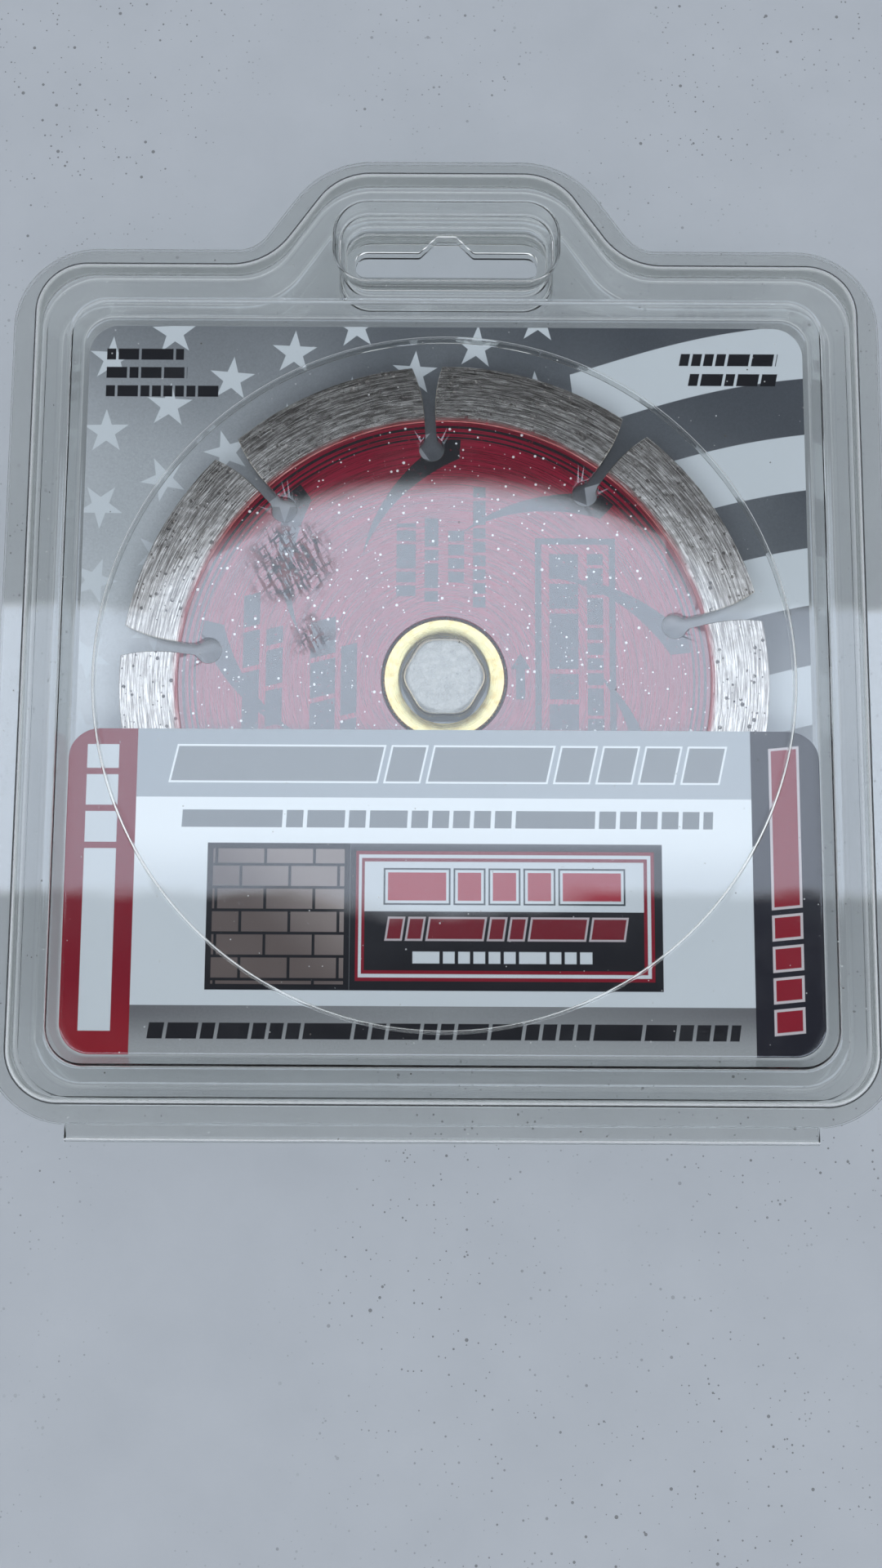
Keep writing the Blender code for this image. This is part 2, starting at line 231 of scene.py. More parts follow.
def bell(outset):
    """The body's outline with its bell-shaped hang tab, moved outwards by outset."""
    foot_share = (BODY_BOTTOM - FLANGE_BOTTOM) / FLANGE_WIDTH if outset > 0 else 1.0
    foot = BODY_BOTTOM - outset * foot_share
    corner = BODY_CORNER + outset
    side = BODY_HALF_WIDTH - BODY_CORNER
    neck_y = BODY_SHOULDER + NECK_RADIUS
    half = arc(side, foot + corner, corner, -QUARTER, 0, 16)
    half += arc(side, BODY_SHOULDER - BODY_CORNER, corner, 0, QUARTER, 16)
    half += arc(NECK_X, neck_y, NECK_RADIUS - outset, -QUARTER, -QUARTER - TAB_SLOPE, 14)
    half += arc(
        TAB_CORNER_X, BODY_TAB_TOP - TAB_CORNER, TAB_CORNER + outset, QUARTER - TAB_SLOPE, QUARTER, 14
    )
    return mirrored(half)


def window(outset):
    return rounded_rectangle(
        WINDOW_HALF_WIDTH + outset,
        WINDOW_BOTTOM - outset,
        WINDOW_TOP + outset,
        WINDOW_CORNER + outset,
    )


def pan(outset):
    return rounded_rectangle(
        PAN_HALF_WIDTH + outset, PAN_BOTTOM - outset, PAN_TOP + outset, PAN_CORNER + outset
    )


def hang_slot():
    """The slot in the hang tab, with the rounded hump that centres a single hook."""
    corners = [
        (0, SLOT_BOTTOM),
        (SLOT_HALF_LENGTH, SLOT_BOTTOM),
        (SLOT_HALF_LENGTH, SLOT_TOP),
        (HUMP_HALF_FOOT, SLOT_TOP),
        (HUMP_HALF_TOP, HUMP_TOP),
        (0, HUMP_TOP),
    ]
    half = rounded_path(corners, (SLOT_CORNER, SLOT_CORNER, 0.9, 0.9))
    return half + [(-x, y) for x, y in reversed(half[1:-1])]


def hub(radius):
    """A circle with six soft lobes, like a rounded hexagon."""
    points = []
    for x, y in circle(radius, HUB_LOBES * 20):
        lobe = 1 + HUB_LOBE_SHARE * math.cos(HUB_LOBES * math.atan2(y, x))
        points.append((x * lobe, y * lobe))
    return points


def turned(points, angle):
    cosine, sine = math.cos(angle), math.sin(angle)
    return [(x * cosine - y * sine, x * sine + y * cosine) for x, y in points]


def keyhole_side():
    """One side of a slot along +X, from the core's rim inwards to the keyhole's inner end."""
    rise = SLOT_HALF_WIDTH + KEYHOLE_FILLET
    reach = KEYHOLE_RADIUS + KEYHOLE_FILLET
    lean = math.asin(rise / reach)
    fillet_x = KEYHOLE_CENTRE_RADIUS + reach * math.cos(lean)
    fillet = arc(fillet_x, rise, KEYHOLE_FILLET, -QUARTER, -math.pi + lean, 8)
    hole = arc(KEYHOLE_CENTRE_RADIUS, 0, KEYHOLE_RADIUS, lean, math.pi, 24)
    rim_x = math.sqrt((CORE_RADIUS + CORE_OVERLAP) ** 2 - SLOT_HALF_WIDTH**2)
    return [(rim_x, SLOT_HALF_WIDTH)] + fillet + hole[1:]


def core_outline():
    """The core's rim, cut by a keyhole slot between each pair of segments."""
    upper = keyhole_side()
    slot = [(x, -y) for x, y in upper] + upper[-2::-1]
    radius = CORE_RADIUS + CORE_OVERLAP
    edge_angle = math.asin(SLOT_HALF_WIDTH / radius)
    rim = arc(0, 0, radius, edge_angle, PITCH - edge_angle, 24)[1:-1]
    outline = []
    for i in range(SEGMENT_COUNT):
        outline += turned(slot + rim, FIRST_SLOT_ANGLE + i * PITCH)
    return outline


def inset(outline, distance):
    """A closed outline moved to its left by distance, corner by corner."""
    points = [Vector(p) for p in outline]
    moved = []
    for before, here, after in zip(points[-1:] + points, points, points[1:] + points[:1]):
        first = (here - before).normalized()
        second = (after - here).normalized()
        normals = Vector((-first.y, first.x)) + Vector((-second.y, second.x))
        reach = max(normals.length_squared / 2, 0.4)
        moved.append(tuple(here + normals * (distance / reach)))
    return moved


# Surfaces: rings of points joined by walls and closed by flats.


class Surface:
    """A mesh built from rings. Its outside faces up, or down when upside_down is set."""

    def __init__(self, upside_down=False):
        self.mesh = bmesh.new()
        self.upside_down = upside_down

    def ring(self, outline, height):
        return [self.mesh.verts.new((x * MM, (y + AXIS_Y) * MM, height * MM)) for x, y in outline]

    def wall(self, outer, inner):
        """Quads between two rings of the same count, the one that is further out given first."""
        count = len(outer)
        for i in range(count):
            j = (i + 1) % count
            corners = (outer[i], outer[j], inner[j], inner[i])
            self.mesh.faces.new(reversed(corners) if self.upside_down else corners)

    def stack(self, outline, profile):
        """Walls through a ring for each (outset, height) of a profile. Returns the end rings."""
        rings = [self.ring(outline(outset), height) for outset, height in profile]
        for outer, inner in zip(rings, rings[1:]):
            self.wall(outer, inner)
        return rings[0], rings[-1]

    def flat(self, *rings, facing_up=None):
        """A flat inside the first ring and outside the others."""
        edges = []
        for ring in rings:
            pairs = zip(ring, ring[1:] + ring[:1])
            edges += [self.mesh.edges.get(pair) or self.mesh.edges.new(pair) for pair in pairs]
        up = (not self.upside_down) if facing_up is None else facing_up
        normal = (0, 0, 1 if up else -1)
        made = bmesh.ops.triangle_fill(
            self.mesh, use_beauty=True, use_dissolve=False, edges=edges, normal=normal
        )
        for face in made["geom"]:
            if isinstance(face, bmesh.types.BMFace) and face.normal.z * normal[2] < 0:
                face.normal_flip()

    def finish(self, name, coating, thickness=0.0, sharp=40.0):
        """The finished object, given the sheet's thickness when it has one."""
        self.mesh.normal_update()
        data = bpy.data.meshes.new(name)
        self.mesh.to_mesh(data)
        self.mesh.free()
        obj = bpy.data.objects.new(name, data)
        bpy.context.scene.collection.objects.link(obj)
        if thickness:
            solidify = obj.modifiers.new("sheet_thickness", "SOLIDIFY")
            solidify.thickness = thickness * MM
            solidify.offset = -1
            solidify.use_even_offset = True
            graph = bpy.context.evaluated_depsgraph_get()
            obj.data = bpy.data.meshes.new_from_object(obj.evaluated_get(graph))
            obj.data.name = name
            obj.modifiers.clear()
        obj.data.materials.append(coating)
        obj.data.shade_smooth()
        obj.data.set_sharp_from_angle(angle=math.radians(sharp))
        weighted = obj.modifiers.new("flats_stay_flat", "WEIGHTED_NORMAL")
        weighted.weight = 100
        weighted.keep_sharp = True
        return obj


def plate(name, outline, holes, low, high, edge, coating):
    """A flat plate with softened edges. The outline and the holes are closed lists of points."""
    surface = Surface()
    tops, bottoms = [], []
    for points, side in [(outline, 1)] + [(hole, -1) for hole in holes]:
        narrow = inset(points, side * edge)
        rings = [
            surface.ring(narrow, low),
            surface.ring(inset(points, side * edge * 0.3), low + edge * 0.3),
            surface.ring(points, low + edge),
            surface.ring(points, high - edge),
            surface.ring(inset(points, side * edge * 0.3), high - edge * 0.3),
            surface.ring(narrow, high),
        ]
        for lower, upper in zip(rings, rings[1:]):
            if side > 0:
                surface.wall(lower, upper)
            else:
                surface.wall(upper, lower)
        tops.append(rings[-1])
        bottoms.append(rings[0])
    surface.flat(*tops, facing_up=True)
    surface.flat(*bottoms, facing_up=False)
    return surface.finish(name, coating, sharp=35.0)


# Shader graphs.


class Value:
    """A shader socket that takes part in arithmetic, so that patterns read as formulas."""

    def __init__(self, graph, socket):
        self.graph = graph
        self.socket = socket

    def __add__(self, other):
        return self.graph.math("ADD", self, other)

    def __sub__(self, other):
        return self.graph.math("SUBTRACT", self, other)

    def __rsub__(self, other):
        return self.graph.math("SUBTRACT", other, self)

    def __mul__(self, other):
        return self.graph.math("MULTIPLY", self, other)

    def __truediv__(self, other):
        return self.graph.math("DIVIDE", self, other)

    __radd__ = __add__
    __rmul__ = __mul__

    def __abs__(self):
        return self.graph.math("ABSOLUTE", self)

    def __or__(self, other):
        return self.graph.math("MAXIMUM", self, other)

    def __and__(self, other):
        return self.graph.math("MINIMUM", self, other)


class Graph:
    """The node tree of a material or of the world, with short calls for the nodes it needs."""

    def __init__(self, owner):
        self.owner = owner
        owner.use_nodes = True
        self.tree = owner.node_tree
        self.tree.nodes.clear()

    def plug(self, socket, value):
        if isinstance(value, Value):
            self.tree.links.new(value.socket, socket)
        elif socket.type == "RGBA":
            socket.default_value = (*value[:3], 1.0)
        else:
            socket.default_value = value

    def node(self, kind, inputs=None, output=0, **settings):
        made = self.tree.nodes.new("ShaderNode" + kind)
        for key, value in settings.items():
            setattr(made, key, value)
        for key, value in (inputs or {}).items():
            self.plug(made.inputs[key], value)
        return Value(self, made.outputs[output])

    def math(self, operation, a, b=0.0, clamp=False):
        return self.node("Math", {0: a, 1: b}, operation=operation, use_clamp=clamp)

    def parts(self, vector):
        """A vector's x, y and z."""
        axes = self.tree.nodes.new("ShaderNodeSeparateXYZ")
        self.plug(axes.inputs[0], vector)
        return [Value(self, output) for output in axes.outputs]

    def read_place(self):
        """x, y and z in millimetres from the blade's axis and the rest plane, and the polar radius."""
        place = self.node("TexCoord", output="Object")
        centre = (0, AXIS_Y * MM, 0)
        shifted = self.node("VectorMath", {0: place, 1: centre}, operation="SUBTRACT")
        self.place = self.node("VectorMath", {0: shifted, "Scale": 1 / MM}, operation="SCALE")
        self.x, self.y, self.z = self.parts(self.place)
        self.radius = self.math("SQRT", self.x * self.x + self.y * self.y)

    def vector(self, x, y, z=0.0):
        return self.node("CombineXYZ", {0: x, 1: y, 2: z})

    def ramp(self, value, low, high, to_low=0.0, to_high=1.0):
        """A smooth change from to_low at low to to_high at high."""
        inputs = {0: value, 1: low, 2: high, 3: to_low, 4: to_high}
        return self.node("MapRange", inputs, interpolation_type="SMOOTHSTEP")

    def below(self, value, limit, soft=0.06):
        """1 where value is under limit, 0 above it."""
        return self.ramp(value, limit + soft, limit - soft)

    def noise(self, scale, detail=3.0, roughness=0.55, vector=None, seed=0.0):
        place = vector or self.place
        if seed:
            place = self.node("VectorMath", {0: place, 1: (seed, seed, seed)}, operation="ADD")
        inputs = {"Vector": place, "Scale": scale, "Detail": detail, "Roughness": roughness}
        return self.node("TexNoise", inputs, output="Fac")

    def specks(self, spacing, size, share, seed=0.0):
        """Small round specks: about one for each spacing, of which only a share shows."""
        place = self.node("VectorMath", {0: self.place, 1: (seed, seed, seed)}, operation="ADD")
        cells = self.tree.nodes.new("ShaderNodeTexVoronoi")
        self.plug(cells.inputs["Vector"], place)
        self.plug(cells.inputs["Scale"], 1 / spacing)
        colour = self.tree.nodes.new("ShaderNodeSeparateColor")
        self.tree.links.new(cells.outputs["Color"], colour.inputs[0])
        pick, spread = Value(self, colour.outputs[0]), Value(self, colour.outputs[1])
        limit = (spread * 0.7 + 0.3) * (size / spacing)
        near = self.math("LESS_THAN", Value(self, cells.outputs["Distance"]), limit)
        return near * self.math("LESS_THAN", pick, share)

    def mix(self, amount, first, second):
        """The first colour where amount is 0, the second where it is 1."""
        inputs = {"Factor": amount, "A": first, "B": second}
        made = self.tree.nodes.new("ShaderNodeMix")
        made.data_type = "RGBA"
        made.clamp_factor = True
        sockets = {"Factor": made.inputs[0], "A": made.inputs[6], "B": made.inputs[7]}
        for key, value in inputs.items():
            self.plug(sockets[key], value)
        return Value(self, made.outputs[2])

    def bump(self, height, strength=1.0):
        """A normal from a height in millimetres."""
        inputs = {"Height": height * MM, "Distance": 1.0, "Strength": strength}
        return self.node("Bump", inputs)

    def principled(self, **inputs):
        named = {key.replace("_", " "): value for key, value in inputs.items()}
        return self.node("BsdfPrincipled", named)

    def finish(self, shader, kind="Material"):
        output = self.tree.nodes.new("ShaderNodeOutput" + kind)
        self.tree.links.new(shader.socket, output.inputs[0])
        return self.owner

    # Flat shapes for print, as masks that are 1 inside.

    def turn(self, x, y, angle):
        """x and y in axes turned anticlockwise by angle."""
        cosine, sine = math.cos(angle), math.sin(angle)
        return x * cosine + y * sine, y * cosine - x * sine

    def box(self, x, y, left, right, bottom, top, soft=0.06):
        across = abs(x - (left + right) / 2) - (right - left) / 2
        along = abs(y - (bottom + top) / 2) - (top - bottom) / 2
        return self.below(across | along, 0.0, soft)

    def disc(self, x, y, centre_x, centre_y, radius, soft=0.06):
        across, along = x - centre_x, y - centre_y
        distance = self.math("SQRT", across * across + along * along)
        return self.below(distance, radius, soft)

    def blocks(self, x, y, left, right, bottom, top, pitch, gap, slant=0.0, margin=0.0):
        """A row of plain slanted bars of mixed lengths that stands for a line of print."""
        middle = (bottom + top) / 2
        leaned = x - (y - middle) * slant
        cut = self.math("ROUND", (leaned - left) / pitch)
        pick = self.node("TexWhiteNoise", {"W": cut + bottom}, noise_dimensions="1D")
        joined = self.math("LESS_THAN", pick, 0.36)
        inside = gap / 2 - abs(leaned - left - cut * pitch) - joined * pitch
        across = abs(leaned - (left + right) / 2) - (right - left) / 2
        along = abs(y - middle) - (top - bottom) / 2
        return self.below(inside | across | along, -margin)

    def star(self, x, y, radius):
        """A five-pointed star round 0, 0, with one point along +Y."""
        angle = self.math("ARCTAN2", x, y)
        folded = abs(self.math("PINGPONG", abs(angle) + 2 * math.pi / 5, math.pi / 5))
        distance = self.math("SQRT", x * x + y * y)
        notch = 0.382
        normal_x = notch * math.sin(math.pi / 5)
        normal_y = 1 - notch * math.cos(math.pi / 5)
        length = math.hypot(normal_x, normal_y)
        along = distance * self.math("COSINE", folded) * (normal_x / length)
        across = distance * self.math("SINE", folded) * (normal_y / length)
        return self.below(along + across, radius * normal_x / length)


# Materials.


def coating_graph(name):
    graph = Graph(bpy.data.materials.new(name))
    graph.read_place()
    return graph


def clear_plastic():
    """Clear thermoformed sheet: slightly grey, uneven, with haze, dust and handling marks, painted shade
    at grazing views and painted light on the hub's roof.
    """
    g = coating_graph("clear_plastic")
    uneven = g.noise(0.045, 2.0) * 0.05 + g.noise(0.35, 2.0, seed=7.0) * 0.0008
    marks = g.noise(1.0, 2.0, vector=g.vector(g.x * 5.0 + g.y * 4.0, g.y * 0.25 - g.x * 0.3))
    scratched = g.ramp(marks, 0.70, 0.78)
    # Towards grazing views the colour darkens: partly the tint of a longer path through the sheet, partly
    # painted shade that draws dark lines along the steep walls.
    facing = g.node("LayerWeight", {"Blend": 0.5}, output="Facing")
    grazing_tint_and_shade = g.math("POWER", facing, 3.0)
    glass = g.principled(
        Base_Color=g.mix(grazing_tint_and_shade, (0.972, 0.975, 0.962), (0.22, 0.245, 0.225)),
        Roughness=scratched * 0.06,
        IOR=1.57,
        Specular_IOR_Level=g.ramp(facing, 0.06, 0.20, 0.15, 0.85),
        Transmission_Weight=1.0,
        Normal=g.bump(uneven + scratched * 0.0006),
    )
    haze = g.ramp(g.noise(0.09, 5.0, 0.6, seed=11.0), 0.45, 0.75, 0.0, 0.006)
    # The hub's roof gets a whitish diffuse film: painted light that brightens the hub seen through the
    # bush's bore.
    hub_roof = g.below(g.radius, HUB_RADIUS - 0.6, 0.5) * g.below(abs(g.z - HUB_TOP), 0.7)
    hub_roof_painted_light = hub_roof * g.ramp(g.noise(0.8, 5.0, 0.7, seed=15.0), 0.30, 0.70, 0.22, 0.5)
    pale = g.specks(2.2, 0.16, 0.5, seed=5.0)
    dark = g.specks(4.2, 0.17, 0.5, seed=23.0)
    dust_colour = g.mix(dark, (0.70, 0.71, 0.70), (0.10, 0.09, 0.08))
    dust = g.principled(Base_Color=dust_colour, Roughness=0.9)
    share = haze | hub_roof_painted_light | pale * 0.55 | dark * 0.8
    dusty = g.node("MixShader", {0: share, 1: glass, 2: dust})
    # Rays that carry light pass straight through. Rays that the eye follows, and their reflections
    # inside the sheet, see real glass.
    path = g.tree.nodes.new("ShaderNodeLightPath")
    kinds = ("Shadow", "Diffuse", "Glossy", "Transmission")
    shadow, diffuse, glossy, refracted = (Value(g, path.outputs[f"Is {kind} Ray"]) for kind in kinds)
    outside_sheet = g.math("GREATER_THAN", Value(g, path.outputs["Ray Length"]), 2.4 * SHEET * MM)
    lighting = shadow | diffuse | glossy * (1.0 - refracted) * outside_sheet
    through = g.node("BsdfTransparent", {0: (0.975, 0.980, 0.977)})
    return g.finish(g.node("MixShader", {0: lighting, 1: dusty, 2: through}))


def board(g, art):
    """Printed board: the art on its upper face, plain grey board behind, and white paper edges."""
    normal = g.node("NewGeometry", output="True Normal")
    turned_with_card = g.node(
        "VectorTransform", {0: normal}, vector_type="NORMAL", convert_from="WORLD", convert_to="OBJECT"
    )
    upwards = g.parts(turned_with_card)[2]
    fibres = g.noise(2.2, 5.0, 0.7)
    plain = g.mix(fibres, (0.60, 0.60, 0.58), (0.72, 0.72, 0.70))
    back = g.mix(g.ramp(upwards, -0.5, -0.6), (0.78, 0.78, 0.76), plain)
    colour = g.mix(g.ramp(upwards, 0.5, 0.6), back, art)
    sheen = g.ramp(fibres, 0.3, 0.7, 0.30, 0.42)
    grain = fibres * 0.001 + g.noise(0.03, 2.0) * 0.12
    shader = g.principled(
        Base_Color=colour,
        Roughness=sheen,
        Specular_IOR_Level=0.16,
        Coat_Weight=0.5,
        Coat_Roughness=0.12,
        Normal=g.bump(grain),
    )
    return g.finish(shader)


BRIGHT_INK = (0.82, 0.86, 0.89)
WHITE_INK = (0.58, 0.62, 0.655)
PALE_INK = (0.56, 0.59, 0.62)
SLATE_INK = (0.070, 0.078, 0.092)
BLACK_INK = (0.010, 0.010, 0.014)
NAVY_INK = (0.012, 0.012, 0.020)
RED_INK = (0.20, 0.006, 0.018)


def rear_print():
    """A grey fade with white stars on the left, waving stripes on the right and plain bars for text."""
    g = coating_graph("rear_print")
    fade = g.ramp(g.x * -0.35 - g.y * 0.55 + g.noise(0.02, 2.0) * 40, -30.0, 55.0)
    grain = g.noise(3.0, 2.0) * 0.35 + 0.82
    ground = g.mix(fade, SLATE_INK, PALE_INK)
    ground = g.node("VectorMath", {0: ground, "Scale": grain}, operation="SCALE")
    lean = math.radians(24)
    along, across = g.turn(g.x, g.y + 1.5, lean)
    pitch = 12.4
    row = g.math("FLOOR", across / pitch)
    shifted = along + g.math("FLOORED_MODULO", row, 2.0) * (pitch / 2)
    star_x = g.math("FLOORED_MODULO", shifted, pitch) - pitch / 2
    star_y = g.math("FLOORED_MODULO", across, pitch) - pitch / 2
    spin = g.math("SINE", g.math("FLOOR", shifted / pitch) * 12.9 + row * 7.3) * 0.5
    cosine, sine = g.math("COSINE", spin), g.math("SINE", spin)
    stars = g.star(star_x * cosine + star_y * sine, star_y * cosine - star_x * sine, 4.3)
    field = g.below(g.x + g.y * 0.12, 29.5)
    stripe_place = g.y - g.x * 0.2 + g.math("SINE", g.x * 0.07 + g.y * 0.02) * 1.6
    stripe_cell = abs(g.math("FLOORED_MODULO", stripe_place + 6.0, 21.5) - 10.75)
    stripes = g.below(stripe_cell, 5.3, 0.1)
    pattern = stars * field | stripes * (1.0 - field)
    art = g.mix(pattern, ground, WHITE_INK)
    for right, top in ((-48.0, 61.5), (-47.3, 58.0), (-41.5, 54.5)):
        line = g.blocks(g.x, g.y, -62.3, right, top - 2.1, top, 2.1, 0.45)
        art = g.mix(line, art, BLACK_INK)
    for left, right, top in ((42.6, 60.6, 61.0), (44.2, 60.4, 57.2)):
        line = g.blocks(g.x, g.y, left, right, top - 2.3, top, 2.2, 0.5, 0.2)
        art = g.mix(line, art, BLACK_INK)
    return board(g, art)


def front_print():
    """Red and navy side bands, grey bands above and below, and a plain brick panel in the middle."""
    g = coating_graph("front_print")
    x, y = g.x, g.y
    halftone = g.noise(3.2, 2.0) * 0.3 + 0.85
    upper = g.mix(g.ramp(x, -50.0, 50.0), (0.37, 0.41, 0.45), (0.43, 0.47, 0.51))
    lower = g.mix(abs(x) / 60.0, (0.24, 0.25, 0.26), (0.12, 0.12, 0.13))
    lower = g.mix(g.ramp(y, -64.5, -57.0), (0.32, 0.33, 0.34), lower)
    # The white field brightens towards its top: a painted reflection of the softbox on the card.
    field = g.mix(g.ramp(y, -40.0, -26.0), WHITE_INK, BRIGHT_INK)
    art = g.mix(g.below(y, FIELD_TOP), upper, field)
    art = g.mix(g.below(y, FIELD_BOTTOM), art, lower)
    dots = g.ramp(y, FIELD_BOTTOM, FIELD_BOTTOM + 0.1, halftone, 1.0)
    art = g.node("VectorMath", {0: art, "Scale": dots}, operation="SCALE")

    for margin, ink in ((0.0, BRIGHT_INK), (0.35, (0.27, 0.29, 0.31))):
        title = g.blocks(x, y, -47.0, 48.5, -18.6, -11.9, 7.35, 0.9, 0.22, margin)
        art = g.mix(title, art, ink)
    line = g.blocks(x, y, -45.5, 46.5, -26.3, -23.3, 3.6, 0.7, 0.05)
    art = g.mix(line, art, (0.22, 0.24, 0.26))
    foot = g.blocks(x, y, -50.0, 50.5, -62.2, -59.5, 2.9, 0.6, 0.15)
    art = g.mix(foot, art, BLACK_INK)

    art = brick_panel(g, art)

    red_band = g.below(x, -SIDE_BAND)
    red_fade = g.mix(g.ramp(y, -65.0, -50.0), (0.26, 0.010, 0.020), RED_INK)
    art = g.mix(red_band, art, red_fade)
    side_text = (SIDE_TEXT_BOTTOM, SIDE_TEXT_TOP)
    art = g.mix(g.blocks(y, x, *side_text, -61.9, -56.4, 6.4, 1.1), art, WHITE_INK)
    art = g.mix(1.0 - g.below(x, SIDE_BAND), art, NAVY_INK)
    for margin, ink in ((0.0, (0.55, 0.50, 0.52)), (0.45, (0.24, 0.009, 0.022))):
        bars = g.blocks(y, x, *side_text, 56.3, 61.6, 5.3, 0.9, 0.1, margin)
        art = g.mix(bars, art, ink)
    return board(g, art)


def brick_panel(g, art):
    """A framed panel: a square of brickwork beside plain blocks on white and on black."""
    x, y = g.x, g.y
    grey_top = g.mix(g.ramp(y, -30.5, -27.5), BLACK_INK, (0.20, 0.21, 0.23))
    art = g.mix(g.box(x, y, PANEL_SPLIT, PANEL_RIGHT, PANEL_BOTTOM, PANEL_TOP), art, grey_top)
    inside = g.mix(g.below(y, -40.6), WHITE_INK, BLACK_INK)
    for step, ink in enumerate((RED_INK, WHITE_INK, RED_INK, inside)):
        left = PANEL_SPLIT + 1.0 + 0.5 * step
        right = PANEL_RIGHT - 1.4 - 0.6 * step
        bottom = PANEL_BOTTOM + 1.6 + 0.6 * step
        top = PANEL_TOP - 1.3 - 0.6 * step
        art = g.mix(g.box(x, y, left, right, bottom, top), art, ink)
    for margin, ink in ((0.0, (0.03, 0.04, 0.05)), (0.3, WHITE_INK), (0.75, (0.36, 0.03, 0.05))):
        art = g.mix(g.blocks(x, y, -10.5, 31.5, -39.5, -33.2, 6.0, 0.5, 0.0, margin), art, ink)
    for margin, ink in ((0.0, (0.45, 0.40, 0.42)), (0.35, (0.16, 0.01, 0.02))):
        art = g.mix(g.blocks(x, y, -10.0, 31.5, -45.6, -41.5, 3.5, 0.5, 0.15, margin), art, ink)
    art = g.mix(g.blocks(x, y, -5.5, 25.5, -49.4, -47.4, 2.6, 0.6), art, WHITE_INK)

    art = g.mix(g.box(x, y, PANEL_LEFT, PANEL_SPLIT, PANEL_BOTTOM, PANEL_TOP), art, BLACK_INK)
    course, length, joint = 3.9, 8.4, 0.5
    row = g.math("FLOOR", (y + 60.0) / course)
    shifted = x + 60.0 + g.math("FLOORED_MODULO", row, 2.0) * (length / 2)
    brick_x = abs(g.math("FLOORED_MODULO", shifted, length) - length / 2)
    brick_y = abs(g.math("FLOORED_MODULO", y + 60.0, course) - course / 2)
    brick = g.below(brick_x - length / 2 | brick_y - course / 2, -joint / 2)
    rim = 1.0
    brick = brick * g.box(
        x, y, PANEL_LEFT + rim, PANEL_SPLIT - rim, PANEL_BOTTOM + rim, PANEL_TOP - rim
    )
    tint = g.mix(g.ramp(x + y, -75.0, -55.0), (0.12, 0.095, 0.09), (0.26, 0.22, 0.21))
    return g.mix(brick, art, tint)


def around(g, across=8.0, along=2.0):
    """Coordinates for streaks that run round the blade's axis."""
    return g.vector(g.radius * across, g.x / g.radius * along, g.y / g.radius * along)


def blade_art(g):
    """Black print on the core: thin rings, a tapered swoosh at each slot, bars and a plain panel."""
    x, y, r = g.x, g.y, g.radius
    ink = g.below(abs(r - 43.9), 0.17) | g.below(abs(r - 44.8), 0.16) | g.below(abs(r - 45.85), 0.24)
    angle = g.math("ARCTAN2", y, x)
    sweep = math.radians(37)
    trail = g.math("FLOORED_MODULO", angle - (FIRST_SLOT_ANGLE - math.radians(7)), PITCH)
    along = 1.0 - trail / sweep
    swoosh = g.below(abs(r - (26.5 + along * 16.3)), 2.7 * along, 0.08)
    ink = ink | swoosh * g.below(r, 43.6) * g.below(trail, sweep, 0.002)

    frame_box = g.box(x, y, 16.0, 30.2, -34.0, 25.4) - g.box(x, y, 17.1, 29.1, -32.9, 24.3)
    ink = ink | frame_box
    ink = ink | g.blocks(y, x, -31.0, 22.6, 18.5, 23.6, 5.4, 0.9)
    ink = ink | g.blocks(y, x, -31.0, 22.6, 25.2, 28.0, 2.7, 0.6)
    for left, right, bottom, top in (
        (-8.6, -5.2, 14.5, 28.0),
        (-3.6, -1.2, 13.5, 29.0),
        (0.6, 3.4, 17.0, 27.0),
        (5.0, 7.2, 12.5, 35.0),
    ):
        ink = ink | g.blocks(y, x, bottom, top, left, right, 2.5, 0.6)
    for left, right, bottom, top in (
        (-35.5, -32.6, -20.0, 15.0),
        (-31.4, -28.5, -16.0, 9.0),
        (-23.6, -19.2, -18.0, 10.5),
        (-18.2, -15.4, -14.0, 6.0),
    ):
        ink = ink | g.blocks(y, x, bottom, top, left, right, 7.2, 0.9, 0.25)
    stem = g.box(x, y, 12.6, 14.2, -3.6, 2.2)
    head = g.below(abs(x - 13.4) + (y - 4.6) * 0.62, 0.0) * (1.0 - g.below(y, 1.8))
    return ink | stem | head


